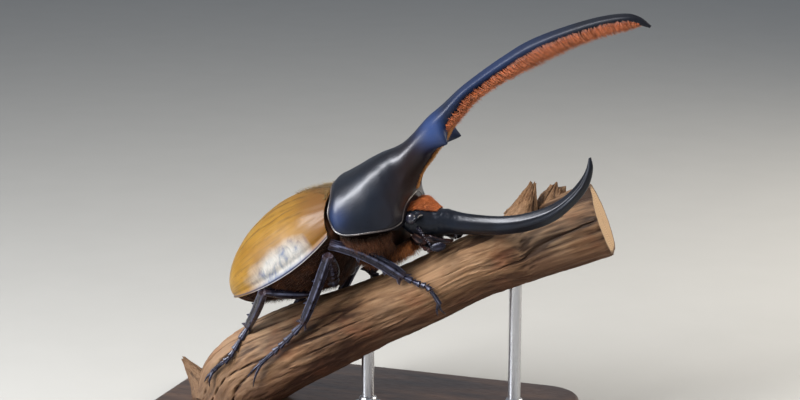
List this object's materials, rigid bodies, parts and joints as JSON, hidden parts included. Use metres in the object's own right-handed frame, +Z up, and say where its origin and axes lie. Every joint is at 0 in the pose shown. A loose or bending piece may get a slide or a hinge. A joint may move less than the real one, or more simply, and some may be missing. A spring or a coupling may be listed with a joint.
{
  "type": "hercules beetle on a cut branch with a display stand",
  "caption": "Life-size male hercules beetle with a long haired upper horn and a curved lower horn, gripping a slanting cut branch on a flat display stand with short rods.",
  "frame": {"origin": "under the middle of the display stand's base, on the surface it stands on", "axes": "+Z up; +X the way the beetle faces, along its middle plane; +Y the beetle's left side"},
  "size_m": [0.1493, 0.084, 0.1312],
  "materials": {
    "black_shell": "glossy blue-black horny shell",
    "eye": "glossy black",
    "wing_case": "semi-gloss ochre with fine lengthwise wrinkles",
    "leg_shell": "semi-gloss slate black",
    "under_shell": "semi-gloss brown-black",
    "hair": "short velvety rust-orange hair",
    "branch_wood": "weathered rough dead wood",
    "stand_wood": "dark satin wood",
    "stand_metal": "satin steel"
  },
  "bodies": {
    "root": {"abdomen": "under_shell", "antenna_left": "leg_shell", "antenna_right": "leg_shell", "branch": "branch_wood", "breast_hair": "hair", "cephalic_horn": "black_shell", "collar_hair": "hair", "elytron_left": "wing_case", "elytron_right": "wing_case", "eye_left": "eye", "eye_right": "eye", "femur_front_left": "leg_shell", "femur_front_right": "leg_shell", "femur_hind_left": "leg_shell", "femur_hind_right": "leg_shell", "femur_middle_left": "leg_shell", "femur_middle_right": "leg_shell", "head": "black_shell", "horn_hair": "hair", "mouthparts": "leg_shell", "palp_left": "leg_shell", "palp_right": "leg_shell", "pronotum": "black_shell", "prothorax": "under_shell", "scutellum": "black_shell", "stand_base": "stand_wood", "stand_rod_front": "stand_metal", "stand_rod_rear": "stand_metal", "tarsus_front_left": "leg_shell", "tarsus_front_right": "leg_shell", "tarsus_hind_left": "leg_shell", "tarsus_hind_right": "leg_shell", "tarsus_middle_left": "leg_shell", "tarsus_middle_right": "leg_shell", "thoracic_horn": "black_shell", "thorax": "under_shell", "tibia_front_left": "leg_shell", "tibia_front_right": "leg_shell", "tibia_hind_left": "leg_shell", "tibia_hind_right": "leg_shell", "tibia_middle_left": "leg_shell", "tibia_middle_right": "leg_shell"}
  },
  "joints": []
}
